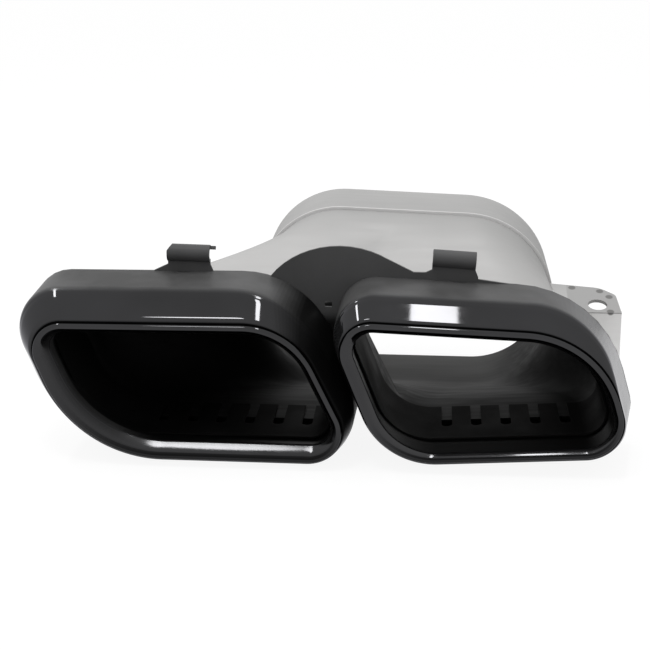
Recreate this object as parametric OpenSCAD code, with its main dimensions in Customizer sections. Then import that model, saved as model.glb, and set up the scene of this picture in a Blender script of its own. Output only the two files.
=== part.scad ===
// Twin tailpipe trim: two slanted tips in front of a stamped two-branch funnel with one obround inlet.
// X runs to the right, Y from the lips towards the car, Z up, with Z = 0 at the surface it rests on.
// Lengths in Y are depths behind the plane of the lips.
// The finished part is then moved so that its middle is at the origin.
// A four-sided outline is a list of corners: bottom left, bottom right, top right, top left.
// Lists of sides run: bottom, right, top, left.

/* [Left tip] */
// Place of the bottom left corner across the part
left_x = -126; // [-132:0.5:-122]
// Height of the bottom left corner of the lip
left_z = 5; // [4:0.5:8]
// Length of the lip's bottom side
left_bottom_w = 144; // [136:1:147]
// Rise of the bottom side from left to right
left_bottom_rise = 0; // [0:0.5:6]
// Length of the lip's top side
left_top_w = 136.5; // [128:0.5:140]
// How far the top left corner stands left of the bottom left one
left_lean = 27.5; // [20:0.5:34]
// Height of the lip's left side
left_side_h = 70.7; // [63:0.1:75]
// Height of the lip's right side
left_inner_h = 72.2; // [65:0.1:77]
// Corner radii of the lip
left_lip_r = [48, 17, 40, 12]; // [10:0.5:55]
// How far the crease lies outside the lip at each side
left_crease_out = [5, 5, 14, 10]; // [2:0.5:15]
// Corner radii of the crease
left_crease_r = [72, 27, 52, 22]; // [15:0.5:75]
// Depth of the crease behind the lip at each side
left_crease_y = [13, 13, 18, 16]; // [6:0.5:24]
// How far the rear edge lies outside the lip at each side
left_rear_out = [5, 6, 14.5, 8.5]; // [2:0.5:16]
// Corner radii of the rear edge
left_rear_r = [72, 27, 50, 20]; // [14:0.5:75]
// How far the bottom right corner of the crease and of the rear edge stands out further to the right
left_foot = 7.5; // [0:0.5:9]

/* [Right tip] */
// Place of the bottom left corner across the part
right_x = 29; // [27:0.5:34]
// Height of the bottom left corner of the lip
right_z = 4.5; // [4:0.5:8]
// Length of the lip's bottom side
right_bottom_w = 126; // [120:1:132]
// Rise of the bottom side from left to right
right_bottom_rise = 8; // [0:0.5:9]
// Length of the lip's top side
right_top_w = 137; // [130:0.5:142]
// How far the top left corner stands left of the bottom left one
right_lean = 30; // [24:0.5:32]
// Height of the lip's left side
right_inner_h = 75.9; // [68:0.1:78]
// Height of the lip's right side
right_side_h = 70.9; // [62:0.1:74]
// Corner radii of the lip
right_lip_r = [36, 19, 52, 16]; // [10:0.5:55]
// How far the crease lies outside the lip at each side
right_crease_out = [5, 0.8, 10.5, 2]; // [0.8:0.1:15]
// Corner radii of the crease
right_crease_r = [43, 20, 44, 21]; // [15:0.5:60]
// Depth of the crease behind the lip at each side
right_crease_y = [13, 7, 18, 13]; // [6:0.5:24]
// How far the rear edge lies outside the lip at each side
right_rear_out = [5, 7.2, 10.5, 1]; // [1:0.1:16]
// Corner radii of the rear edge
right_rear_r = [43, 16, 62, 20]; // [14:0.5:64]

/* [Tip sheet] */
// Depth of both tips from lip to rear edge
tip_depth = 50; // [44:0.5:56]
// Thickness of the tips' sheet
tip_t = 1.2; // [0.8:0.1:1.6]
// Radius of the rolled bead at the lip
bead_r = 1.6; // [1.2:0.1:2]
// Depth of the groove behind the bead
groove = 0.9; // [0.4:0.1:1.4]
// Width of the rounding over the crease
crease_w = 5; // [3:0.5:7]
// Depth at which the inner return of the lip ends
return_depth = 22; // [16:0.5:28]
// How far the return draws in from the lip's outline
return_in = 6; // [5.4:0.1:7]
// How far the return has drawn in at its knee
knee_in = 5.7; // [5:0.1:6]
// Depth of the knee, up to which the return slants
knee_y = 4.3; // [3.6:0.1:5.5]
// Place of the left tip's notch from the left end of the hook above it
left_notch_x = 9; // [4:0.5:16]
// Place of the right tip's notch from the left end of the hook above it
right_notch_x = 14.5; // [6:0.5:18]
// Width of the half-moon notch in each rear edge
notch_w = 12; // [6:0.5:16]
// Depth of the half-moon notch
notch_d = 2.4; // [1.2:0.1:4]

/* [Liners] */
// Thickness of the liners' sheet
liner_t = 1; // [0.8:0.1:1.6]
// Length of each liner's overlap inside the return
liner_lap = 5; // [3:0.5:8]
// Depth at which the liners end
liner_end = 63; // [56:0.5:63.5]
// Width of the slots between the liners' fingers
slot_w = 5.5; // [3:0.5:8]
// Distance from one slot to the next
slot_pitch = 15.5; // [12:0.5:20]
// Depth at which the slots begin
slot_start = 34; // [27:0.5:38]

/* [Carrier plate] */
// Thickness of the carrier plate
plate_t = 1.5; // [1:0.1:2.5]
// Middle of the arch across the part
arch_x = 4; // [0:0.5:8]
// Half width of the arch
arch_half_w = 42; // [38:0.5:46]
// Height of the arch's crown
arch_top = 106; // [98:0.5:110]
// Height at which the arch is widest
arch_foot = 76; // [70:0.5:80]
// Bend of the arch's shoulders: above 1 they are straighter than an ellipse's
arch_bend = 1.15; // [1:0.05:1.4]
// Distance from the arch's middle at which the strip starts
arch_join = 38.5; // [36:0.5:41]
// Height of the lower edge of the web between the tips
web_bottom = 40; // [36:0.5:72]
// Half width of the web
web_half_w = 14; // [12:0.5:16]
// Place of the small slot across the part
web_slot_x = -4; // [-8:0.5:-2]
// Height of the small slot's lower edge
web_slot_z = 73; // [70:0.5:76]
// Width of the small slot in the web
web_slot_w = 3.8; // [2:0.1:6]
// Height of the small slot in the web
web_slot_h = 2.8; // [2:0.1:5]
// Height of the strip that runs from the arch over the right tip
strip_h = 2; // [1.5:0.1:5]
// How far the strip runs past the right hook
strip_run = 18; // [10:1:24]

/* [Hooks] */
// Left end of the left hook
left_hook_x = -87; // [-92:0.5:-82]
// Left end of the right hook
right_hook_x = 52; // [48:0.5:56]
// How far the right hook's foot stands over the tip's edge
right_hook_rise = 2.2; // [0:0.1:4]
// Width of each hook
hook_w = 22.5; // [16:0.5:28]
// Height of the flat tab under the roll
hook_tab_h = 5.5; // [4:0.5:8]
// How far the tab's foot flares to the left
foot_left = 7.5; // [3:0.5:9]
// How far the tab's foot flares to the right
foot_right = 1.5; // [1:0.5:5]
// Height of the flare
foot_h = 3.6; // [1.5:0.1:4]
// Outer radius of the hook's roll
hook_r = 4.6; // [3.6:0.1:5.4]
// Length of the free edge that folds down behind the roll
fold_len = 3; // [2:0.1:4]
// Slope of the free edge
fold_tilt = 35; // [10:1:50]
// Width of the slanted corner at the roll's left end, at the left and at the right hook
nip_w = [2.6, 1.2]; // [1:0.1:4]
// Height of the slanted corner, at the left and at the right hook
nip_h = [3, 1]; // [1:0.1:4]
// How far the nib stands out of the roll's right end, at the left and at the right hook
nib = [2.6, 0]; // [0:0.1:3]
// How far the roll falls from its left end to its right end, at the left and at the right hook
roll_fall = [0.4, 1.2]; // [0:0.1:2]

/* [Funnel] */
// Depth of the whole part, from the lips to the inlet's rim
overall_depth = 185; // [170:1:200]
// Thickness of the funnel's sheet
funnel_t = 1.2; // [0.8:0.1:1.6]
// Depth at which the funnel's mouths begin
mouth_start = 46; // [42:0.5:48]
// Depth at which the mouths' straight part ends
mouth_end = 64; // [62:0.5:68]
// Depth at which the funnel reaches the inlet's outline
trunk_y = 135; // [128:0.5:142]
// Depth of the crotch between the branches
crotch_y = 86; // [80:0.5:94]
// Place across the part of the crotch's lower end
crotch_x = 33; // [30:0.5:36]
// How far the crotch's upper end stands left of its lower end
crotch_lean = 25; // [20:0.5:28]
// Height of the crotch's lower end
crotch_bottom = 14; // [10:0.5:18]
// Height of the crotch's upper end
crotch_top = 68; // [62:0.5:74]
// How fast the left branch comes down to its mouth's height
left_drop = 1.15; // [1:0.05:1.6]
// How fast the right branch comes down to its mouth's height
right_drop = 1.12; // [1:0.02:1.6]
// Bend of that slope: below 1 it falls early, above 1 late
drop_bend = 0.75; // [0.6:0.05:1.2]
// Share of the trunk's length at which the valley between the branches begins
valley_start = 0.4; // [0.1:0.05:0.6]

/* [Inlet] */
// Place of the inlet's left side
inlet_x = -49.5; // [-54:0.5:-46]
// Width of the inlet
inlet_w = 172.5; // [165:0.5:179]
// Height of the inlet's left side
inlet_h = 109.5; // [102:0.5:112]
// Fall of the inlet's top from left to right
inlet_fall = 6; // [0:0.5:8]
// Corner radii of the inlet
inlet_r = [48, 46, 53, 48]; // [30:0.5:56]
// Thickness of the collar
collar_t = 1.5; // [1:0.1:2.5]
// Overlap of the collar over the funnel's end
collar_lap = 9; // [5:0.5:14]

/* [Side bracket] */
// Thickness of the bracket
bracket_t = 2; // [1.5:0.1:3]
// Depth of the fold between the bracket's plate and its flange
bracket_y = 91; // [88:0.5:96]
// Height of the fold
bracket_z = 59; // [53:0.5:63]
// How far the bracket's free end stands out from the funnel's right side
bracket_reach = 12.5; // [10:0.5:18]
// Length of the bracket's plate from front to back
bracket_len = 29.5; // [27:0.5:34]
// Width of the slanted corner at the bracket's free end
bracket_chamfer = 10; // [6:0.5:14]
// Distance from the free end at which the bracket's back edge is straight
bracket_back = 38; // [30:0.5:40]
// Height of the flange
flange_h = 33; // [20:0.5:36]
// How far the flange widens down to its lower edge
flange_flare = 1.6; // [0:0.1:3]
// Tilt of the plate, lower at the front
bracket_tilt = 16; // [8:0.5:20]
// Distance from the fold to the start of the slanted corner
bracket_side = 18.5; // [14:0.5:20]
// How far the free end draws in from the fold to the slanted corner
bracket_draw = 1.6; // [0:0.1:3]
// Distance from the fold to the end of the slanted corner
bracket_corner = 25.5; // [22:0.5:27]
// Diameter of the bolt hole
hole_d = 10.6; // [6:0.1:11]
// Distance of the hole's middle from the free end
hole_from_end = 12.5; // [10:0.5:15]
// Distance of the hole's middle from the fold
hole_from_fold = 8; // [7.5:0.5:15]

/* [Fit] */
// Clearance between sheets that slide into each other
fit_gap = 0.2; // [0.1:0.05:0.4]
// Clearance between the bracket and the funnel's side
seat_gap = 0.3; // [0.2:0.05:0.4]

/* [Hidden] */

// Steps round each corner of an outline
arc_n = 8;

// Least radius that an inner corner keeps
r_least = 1;
flat = [0, 0, 0, 0];

// Depth by which forms of one piece run into each other, and by which a cutter passes what it cuts
bite = 0.2;
past = 3;

// How far the skin behind the groove bulges forward, and how far the crease's rounding sinks
bulge = 2.4;
sink = 0.55;

// Angle round the arch at which its outline leaves for the strip
join_angle = 55;

// Radii of the bracket plate's corners, from the fold round the free end and back
bracket_r = [1, 1.5, 5, 12, 12, 1];

chrome_black = "#2b2c2e";
liner_black = "#161616";
plate_grey = "#4a4a4b";
steel = "#b4b4b2";

left_top_x = left_x - left_lean;
left_quad = [[left_x, left_z], [left_x + left_bottom_w, left_z + left_bottom_rise],
    [left_top_x + left_top_w, left_z + left_inner_h], [left_top_x, left_z + left_side_h]];
right_top_x = right_x - right_lean;
right_quad = [[right_x, right_z], [right_x + right_bottom_w, right_z + right_bottom_rise],
    [right_top_x + right_top_w, right_z + right_side_h], [right_top_x, right_z + right_inner_h]];
inlet_end_x = inlet_x + inlet_w;
inlet_quad = [[inlet_x, 0], [inlet_end_x, 0], [inlet_end_x, inlet_h - inlet_fall], [inlet_x, inlet_h]];

// A tip is its lip, its crease and its rear edge: quad, offsets of the sides, radii and depths of the sides
left_lip = [left_quad, flat, left_lip_r, flat];
left_wide = [left_quad[0], left_quad[1] + [left_foot, 0], left_quad[2], left_quad[3]];
left_crease = [left_wide, left_crease_out, left_crease_r, left_crease_y];
left_rear = [left_wide, left_rear_out, left_rear_r, tip_depth * [1, 1, 1, 1]];
right_lip = [right_quad, flat, right_lip_r, flat];
right_crease = [right_quad, right_crease_out, right_crease_r, right_crease_y];
right_rear = [right_quad, right_rear_out, right_rear_r, tip_depth * [1, 1, 1, 1]];

// Offsets from the lip's outline, negative inwards
liner_out = -(return_in + fit_gap);
mouth_out = -(return_in - funnel_t);
trunk_out = -(collar_t + fit_gap);

// Moves a piece so that the middle of the whole part stands over the origin
module placed() translate([-(left_end + right_end) / 2, -overall_depth / 2, 0]) children();

function mix(a, b, t) = a * (1 - t) + b * t;
function smooth(t) = t * t * (3 - 2 * t);
function unit(v) = v / norm(v);
function normal(q, i) = let(u = unit(q[(i + 1) % len(q)] - q[i])) [u[1], -u[0]];
function meet(n1, d1, n2, d2) = let(k = n1[0] * n2[1] - n1[1] * n2[0])
    [(d1 * n2[1] - d2 * n1[1]) / k, (n1[0] * d2 - n2[0] * d1) / k];

// Corner i of a polygon whose sides are moved out by off and then by d
function corner(q, off, i, d) = let(p = (i + len(q) - 1) % len(q), n1 = normal(q, p), n2 = normal(q, i))
    meet(n1, n1 * q[i] + off[p] + d, n2, n2 * q[i] + off[i] + d);

// Which way corner i turns, 1 outwards or -1 inwards, and the length of its arc's tangent for a radius of 1
function bend(q, i) = let(n1 = normal(q, (i + len(q) - 1) % len(q)), n2 = normal(q, i))
    n1[0] * n2[1] - n1[1] * n2[0] > 0 ? 1 : -1;
function tangent(q, i) = tan(acos(normal(q, (i + len(q) - 1) % len(q)) * normal(q, i)) / 2);

// Corner radii, made smaller where two arcs would not fit on the side between them
function fitted(q, off, rad, d) = let(n = len(q),
        r = [for (i = [0:n - 1]) max(rad[i] + bend(q, i) * d, r_least)],
        fit = [for (i = [0:n - 1]) let(m = (i + 1) % n, taken = r[i] * tangent(q, i) + r[m] * tangent(q, m))
            min(1, norm(corner(q, off, m, d) - corner(q, off, i, d)) / taken)])
    [for (i = [0:n - 1]) r[i] * min(fit[(i + n - 1) % n], fit[i])];

// Points round a polygon with a radius at each corner; its sides are moved out by off and then by d
function rounded(q, off, rad, d = 0) = let(radii = fitted(q, off, rad, d)) [for (i = [0:len(q) - 1])
    let(n1 = normal(q, (i + len(q) - 1) % len(q)), n2 = normal(q, i),
        r = radii[i] * bend(q, i), m = corner(q, off, i, d) - r * (n1 + n2) / (1 + n1 * n2),
        start = atan2(n1[1], n1[0]), turn = bend(q, i) * acos(n1 * n2))
    for (k = [0:arc_n]) m + r * [cos(start + turn * k / arc_n), sin(start + turn * k / arc_n)]];

// The same outline as a ring in space, with the depth of each side eased round the corners
function ring(shape, d = 0, y = 0) = let(flat_pts = rounded(shape[0], shape[1], shape[2], d))
    [for (i = [0:3]) for (k = [0:arc_n])
        let(pt = flat_pts[i * (arc_n + 1) + k], before = shape[3][(i + 3) % 4])
        [pt[0], mix(before, shape[3][i], smooth(k / arc_n)) + y, pt[1]]];

function at_depth(pts, y) = [for (p = pts) [p[0], y, p[1]]];

// Two triangles for each step from ring a to ring b, both of n points, numbered from a0 and b0
function strip(a0, b0, n) = [for (k = [0:n - 1]) let(m = (k + 1) % n)
    each [[a0 + k, b0 + k, a0 + m], [a0 + m, b0 + k, b0 + m]]];

// A sheet closed on itself: rings follow its section once round
module sheet_loft(rings) {
    n = len(rings[0]);
    polyhedron([for (r = rings) each r],
        [for (i = [0:len(rings) - 1]) each strip(i * n, ((i + 1) % len(rings)) * n, n)], 10);
}

// One ring of a tip: s runs from the lip (0) over the crease (1) to the rear edge (2)
function tip_ring(lip, crease, rear, s, d, y) = s <= 1
    ? mix(ring(lip, d, y), ring(crease, d, y), s)
    : mix(ring(crease, d, y), ring(rear, d, y), s - 1);

// Section of a tip's sheet as [s, offset, depth], from the rear edge round the lip and back
function tip_section() = let(
        bevel = crease_w / 22, wall = crease_w / 34,
        over = [1 - bevel, 1 - bevel / 2, 1, 1 + wall / 2, 1 + wall],
        low = [0, -sink / 4, -sink, -sink / 4, 0], return_mid = (knee_y + return_depth) / 2)
    concat(
        [[2, 0, 0], [1.5, 0, 0]],
        [for (k = [4:-1:0]) [over[k], low[k], 0]],
        [[0.5, 0, bulge / 2.4], [0.06, 0, bulge], [0, -groove - bite, 2 * bead_r]],
        [for (a = [-30:30:180]) [0, bead_r * (cos(a) - 1), bead_r * (1 - sin(a))]],
        [[0, -knee_in, knee_y], [0, -(knee_in + return_in) / 2, return_mid], [0, -return_in, return_depth]],
        [[0, tip_t - return_in, return_depth], [0, tip_t - (knee_in + return_in) / 2, return_mid],
            [0, tip_t - knee_in, knee_y + tip_t / 2], [0, -bead_r - tip_t / 2, knee_y + bead_r]],
        [[0.5, -tip_t, (bulge + tip_t) / 2], [1 - bevel, -tip_t, tip_t / 2], [1, -tip_t - sink, tip_t / 2],
            [1 + wall, -tip_t, 0], [2, -tip_t, 0]]);

module tip(lip, crease, rear, notch_x, notch_z) {
    color(chrome_black) placed() difference() {
        sheet_loft([for (p = tip_section()) tip_ring(lip, crease, rear, p[0], p[1], p[2])]);
        // Half-moon notch in the rear edge, under the hook
        notch_r = (notch_w * notch_w / 4 + notch_d * notch_d) / (2 * notch_d);
        translate([notch_x, tip_depth + notch_r - notch_d, notch_z - past])
            cylinder(h = 2 * past, r = notch_r, $fn = 64);
    }
}

// Height of a tip's rear edge over a place on its top side
function top_z(q, out, x) = mix(q[3][1], q[2][1], (x - q[3][0]) / (q[2][0] - q[3][0])) + out[2];
function left_top_z(x) = top_z(left_quad, left_rear_out, x);
function right_top_z(x) = top_z(right_quad, right_rear_out, x);

left_notch = left_hook_x + left_notch_x;
right_notch = right_hook_x + right_notch_x;

module left_tip() tip(left_lip, left_crease, left_rear, left_notch, left_top_z(left_notch));
module right_tip() tip(right_lip, right_crease, right_rear, right_notch, right_top_z(right_notch));

// Extrudes a flat outline, drawn in X and Z, from depth y0 to depth y1
module slab(y0, y1) translate([0, y1, 0]) rotate([90, 0, 0]) linear_extrude(y1 - y0) children();

module outline(lip, d) polygon(rounded(lip[0], flat, lip[2], d));

// Slots through one side of a liner, open at its rear end
module side_slots(lip, i) {
    q = lip[0];
    a = q[i];
    b = q[(i + 1) % 4];
    u = unit(b - a);
    // Straight stretch of the side between its two corners
    n0 = normal(q, (i + 3) % 4);
    n1 = normal(q, i);
    n2 = normal(q, (i + 1) % 4);
    from = lip[2][i] * tan(acos(n0 * n1) / 2);
    to = norm(b - a) - lip[2][(i + 1) % 4] * tan(acos(n1 * n2) / 2);
    count = max(floor((to - from - slot_w) / slot_pitch) + 1, 0);
    for (k = [0:1:count - 1]) {
        s = (from + to) / 2 + (k - (count - 1) / 2) * slot_pitch;
        c = a + u * s;
        translate([c[0], slot_start + slot_w / 2, c[1]]) rotate([0, -atan2(u[1], u[0]), 0])
            linear_extrude(return_in + liner_t + past) {
                translate([-slot_w / 2, 0]) square([slot_w, liner_end]);
                circle(d = slot_w, $fn = 32);
            }
    }
}

module liner(lip) {
    color(liner_black) placed() difference() {
        slab(return_depth - liner_lap, liner_end) difference() {
            outline(lip, liner_out);
            outline(lip, liner_out - liner_t);
        }
        // The bottom and the top side have slots
        for (i = [0, 2]) side_slots(lip, i);
    }
}

module left_liner() liner(left_lip);
module right_liner() liner(right_lip);

// Outline of the arch down to its foot
function arch_point(a) = [arch_x + arch_half_w * cos(a),
    arch_foot + (arch_top - arch_foot) * pow(sin(a), arch_bend)];
function arch() = [for (a = [0:7.5:180]) arch_point(a)];

// The bracket starts inside the funnel's outline, where the funnel's side then cuts it
bracket_end_x = max([for (p = rounded(right_quad, flat, right_lip_r, mouth_out)) p[0]]) + bracket_reach;
bracket_root_x = bracket_end_x - bracket_reach - bracket_len;

// The widest stretch of the part, which sets its middle
left_end = min([for (shape = [left_crease, left_rear]) for (p = rounded(shape[0], shape[1], shape[2])) p[0]]);
right_end = max(concat([bracket_end_x + flange_flare],
    [for (shape = [right_crease, right_rear]) for (p = rounded(shape[0], shape[1], shape[2])) p[0]]));

module rear_outline(rear) polygon(rounded(rear[0], rear[1], rear[2]));

// Flared foot and flat tab of a hook
module hook_tab(x, z) polygon([[x - foot_left, z - foot_h], [x + hook_w + foot_right, z - foot_h],
    [x + hook_w + foot_right, z], [x + hook_w, z + foot_h], [x + hook_w, z + hook_tab_h], [x, z + hook_tab_h],
    [x, z + foot_h], [x - foot_left / 2, z + foot_h / 2], [x - foot_left, z]]);

// Section of the roll: out of the tab, forward and round, back over the top
module roll_section() translate([0, hook_r]) difference() {
    circle(r = hook_r, $fn = 48);
    circle(r = hook_r - plate_t, $fn = 48);
    translate([plate_t / 2, -2 * hook_r]) square(4 * hook_r);
}

// Section of the last stretch of the free edge, folded down behind the roll
module fold_section(len) translate([plate_t / 2 - bite, 2 * hook_r]) rotate(-fold_tilt)
    translate([fold_len - len, -plate_t]) square([len, plate_t]);

// Roll of the left hook (i = 0) or of the right hook (i = 1)
module hook_roll(x, z, i) {
    roll_z = z + hook_tab_h - bite;
    top = roll_z + 2 * hook_r;
    difference() {
        translate([x, tip_depth + plate_t / 2, roll_z]) rotate([0, atan2(roll_fall[i], hook_w), 0])
            rotate([90, 0, 90]) {
                linear_extrude(hook_w) {
                    roll_section();
                    fold_section(fold_len);
                }
                linear_extrude(hook_w + nib[i]) fold_section(plate_t);
            }
        // Slanted corner
        slab(tip_depth - 2 * hook_r, tip_depth + 2 * hook_r)
            polygon([[x - bite, top - nip_h[i]], [x + nip_w[i], top + bite], [x - bite, top + bite]]);
    }
}

module carrier_plate() {
    zl = left_top_z(left_hook_x + hook_w / 2);
    zr = right_top_z(right_hook_x + hook_w / 2) + right_hook_rise;
    strip_x = right_hook_x + hook_w + strip_run;
    color(plate_grey) placed() {
        slab(tip_depth, tip_depth + plate_t) difference() {
            union() {
                rear_outline(left_rear);
                rear_outline(right_rear);
                polygon(concat(arch(),
                    [[arch_x - web_half_w, web_bottom], [arch_x + web_half_w, web_bottom]]));
                polygon([[arch_x, arch_foot], [strip_x, right_top_z(strip_x) - strip_h],
                    [strip_x, right_top_z(strip_x)], [right_hook_x, zr + strip_h],
                    [arch_x + arch_join, zr + strip_h], arch_point(join_angle)]);
                hook_tab(left_hook_x, zl);
                hook_tab(right_hook_x, zr);
            }
            outline(left_lip, mouth_out + fit_gap);
            outline(right_lip, mouth_out + fit_gap);
            translate([web_slot_x, web_slot_z]) square([web_slot_w, web_slot_h]);
        }
        hook_roll(left_hook_x, zl, 0);
        hook_roll(right_hook_x, zr, 1);
    }
}

// Points of a ring that face the other branch: from the middle of one corner's arc to the middle of the next
half = arc_n / 2;
n_ring = 4 * (arc_n + 1);
left_b = arc_n + 1 + half;
left_t = 2 * (arc_n + 1) + half;
right_t = 3 * (arc_n + 1) + half;
right_b = half;

// Outer points of the branches in the order of the trunk's ring, from the top round the left and the bottom
left_outer = [for (k = [left_t:n_ring + left_b]) k % n_ring];
right_outer = [for (k = [right_b:right_t]) k];

function inlet_top(d) = mix(inlet_quad[3], inlet_quad[2], 0.5) + [0, d];
function inlet_bottom(d) = mix(inlet_quad[0], inlet_quad[1], 0.5) - [0, d];

// Where each outer point of a branch starts on the inlet's outline
function inlet_left(d) = let(q = rounded(inlet_quad, flat, inlet_r, trunk_out + d), m = 2 * half + 1)
    [for (j = left_outer)
        j >= left_t && j < 3 * m ? mix(inlet_top(trunk_out + d), q[3 * m], (j - left_t) / (3 * m - left_t))
        : j >= m && j <= left_b ? mix(inlet_bottom(trunk_out + d), q[m - 1], (left_b - j) / (left_b - m + 1))
        : q[j]];
function inlet_right(d) = let(q = rounded(inlet_quad, flat, inlet_r, trunk_out + d), m = 2 * half + 1)
    [for (j = right_outer)
        j < m ? mix(inlet_bottom(trunk_out + d), q[m], (j - right_b) / (m - right_b))
        : j >= 3 * m ? mix(inlet_top(trunk_out + d), q[3 * m - 1], (right_t - j) / (right_t - 3 * m + 1))
        : q[j]];

// Ends of the crotch, with the sheet's offset d
function crotch_low(d) = [crotch_x, crotch_bottom - d];
function crotch_high(d) = [crotch_x - crotch_lean, crotch_top + d];

// Share of the way from the inlet to the mouths at the crotch
t_crotch = (trunk_y - crotch_y) / (trunk_y - mouth_end);
trunk_steps = 6;
branch_steps = 4;

function blend(a, b, t, drop) =
    [mix(a[0], b[0], smooth(t)), mix(a[1], b[1], pow(smooth(min(t * drop, 1)), drop_bend))];

// How far the crotch is set back for the inner face of the sheet, fading out on both sides of it
function nose(t, d) = -d * max(0, 1 - abs(t - t_crotch) * 4);

// One ring of the trunk: t is the share of the way to the mouths
function trunk_ring(t, d, y) = let(
        ml = rounded(left_quad, flat, left_lip_r, mouth_out + d), il = inlet_left(d),
        mr = rounded(right_quad, flat, right_lip_r, mouth_out + d), ir = inlet_right(d),
        nl = len(left_outer), nr = len(right_outer),
        left = [for (k = [1:nl - 2]) blend(il[k], ml[left_outer[k]], t, left_drop)],
        right = [for (k = [1:nr - 2]) blend(ir[k], mr[right_outer[k]], t, right_drop)],
        s = smooth(max(0, t / t_crotch - valley_start) / (1 - valley_start)),
        top = mix((left[0] + right[nr - 3]) / 2, crotch_high(d), s),
        low = mix((left[nl - 3] + right[0]) / 2, crotch_low(d), s))
    concat(at_depth([top], y + nose(t, d)), at_depth(left, y),
        at_depth([low], y + nose(t, d)), at_depth(right, y));

// One ring of a branch, in the order of its mouth's outline
// The points between low_j and high_j start at the crotch
function branch_ring(quad, radii, outer, start, drop, low_j, high_j, t, d, y) = let(
        m = rounded(quad, flat, radii, mouth_out + d), v = (t - t_crotch) / (1 - t_crotch), steps = arc_n + 1)
    [for (j = [0:n_ring - 1]) let(k = search(j, outer), free = len(k) > 0 && j != low_j && j != high_j,
        up = (low_j == left_b ? j - low_j : (low_j - j + n_ring) % n_ring) / steps,
        root = mix(crotch_low(d), crotch_high(d), up),
        pt = free ? blend(start[k[0]], m[j], t, drop) : mix(root, m[j], smooth(v)))
        [pt[0], y + (free ? 0 : nose(t, d)), pt[1]]];

function left_ring(t, d, y) =
    branch_ring(left_quad, left_lip_r, left_outer, inlet_left(d), left_drop, left_b, left_t, t, d, y);
function right_ring(t, d, y) =
    branch_ring(right_quad, right_lip_r, right_outer, inlet_right(d), right_drop, right_b, right_t, t, d, y);

function depth_at(t) = mix(trunk_y, mouth_end, t);

// Rings of one face of the sheet: trunk from the inlet's end, then each branch to its mouth
function trunk_rings(d) = concat([trunk_ring(0, d, trunk_y + collar_lap)],
    [for (i = [0:trunk_steps]) let(t = t_crotch * i / trunk_steps) trunk_ring(t, d, depth_at(t))]);
function branch_rings(right, d) = concat(
    [for (i = [0:branch_steps]) let(t = mix(t_crotch, 1, i / branch_steps))
        right ? right_ring(t, d, depth_at(t)) : left_ring(t, d, depth_at(t))],
    [right ? right_ring(1, d, mouth_start) : left_ring(1, d, mouth_start)]);

n_trunk = len(left_outer) + len(right_outer) - 2;
k_trunk = trunk_steps + 2;
k_branch = branch_steps + 2;
// Points in one face of the sheet, and where each branch starts in it
n_left0 = n_trunk * k_trunk;
n_right0 = n_left0 + n_ring * k_branch;
n_face = n_right0 + n_ring * k_branch;

function face_points(d) = concat([for (r = trunk_rings(d)) each r], [for (r = branch_rings(false, d)) each r],
    [for (r = branch_rings(true, d)) each r]);

// The sheet is drawn in two shells, whose seam runs along the lower corners
seam_l = n_ring - left_t;
seam_r = len(left_outer) - 1 + 2 * (arc_n + 1) - 1 - right_b;
seam_j = 2 * (arc_n + 1) - 1;

// A patch of loft: rings of n points from first, count of them, with points from a to b (which may pass n)
function patch(first, n, count, a, b) = [for (i = [0:count - 2]) for (k = [a:b - 1])
    let(r0 = first + i * n, r1 = r0 + n, m = (k + 1) % n, c = k % n)
    each [[r0 + c, r1 + c, r0 + m], [r0 + m, r1 + c, r1 + m]]];

function whole_face() = concat(patch(0, n_trunk, k_trunk, 0, n_trunk),
    patch(n_left0, n_ring, k_branch, 0, n_ring), patch(n_right0, n_ring, k_branch, 0, n_ring));

// One shell's face, and the path round its edge
function shell_face(upper) = concat(
    upper ? patch(0, n_trunk, k_trunk, seam_r, n_trunk + seam_l) : patch(0, n_trunk, k_trunk, seam_l, seam_r),
    upper ? patch(n_left0, n_ring, k_branch, seam_j, n_ring) : patch(n_left0, n_ring, k_branch, 0, seam_j),
    upper ? patch(n_right0, n_ring, k_branch, seam_j, n_ring) : patch(n_right0, n_ring, k_branch, 0, seam_j));
function row(first, n, a, b) = [for (k = [a:b]) first + k % n];
function column(first, n, count, k) = [for (i = [1:count - 1]) first + i * n + k];
function back(v) = [for (i = [len(v) - 1:-1:0]) v[i]];
function shell_edge(upper) = let(
        jl = upper ? seam_j : 0, jr = upper ? n_ring : seam_j,
        tl = upper ? seam_r : seam_l, tr = upper ? n_trunk + seam_l : seam_r,
        first_b = upper ? n_left0 : n_right0, second_b = upper ? n_right0 : n_left0,
        last = (k_branch - 1) * n_ring)
    concat(row(0, n_trunk, tl, tr), [for (i = [1:k_trunk - 1]) i * n_trunk + tr % n_trunk],
        column(first_b, n_ring, k_branch - 1, jr % n_ring), back(row(first_b + last, n_ring, jl, jr)),
        back(column(first_b, n_ring, k_branch - 1, jl)), [first_b + jl],
        column(second_b, n_ring, k_branch - 1, jr % n_ring), back(row(second_b + last, n_ring, jl, jr)),
        back(column(second_b, n_ring, k_branch - 1, jl)),
        [for (i = [k_trunk - 1:-1:1]) i * n_trunk + tl]);

function flip(f) = [for (t = f) [t[0], t[2], t[1]]];
function shift(f, n) = [for (t = f) t + [n, n, n]];
function fan(a0, n) = [for (k = [1:n - 2]) [a0, a0 + k, a0 + k + 1]];

module shell(upper) {
    e = shell_edge(upper);
    n = len(e);
    color(steel) placed() polyhedron(concat(face_points(0), face_points(-funnel_t)),
        concat(shell_face(upper), flip(shift(shell_face(upper), n_face)),
            [for (k = [0:n - 1]) let(a = e[k], b = e[(k + 1) % n])
                each [[a, b, a + n_face], [b, b + n_face, a + n_face]]]), 10);
}

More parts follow.
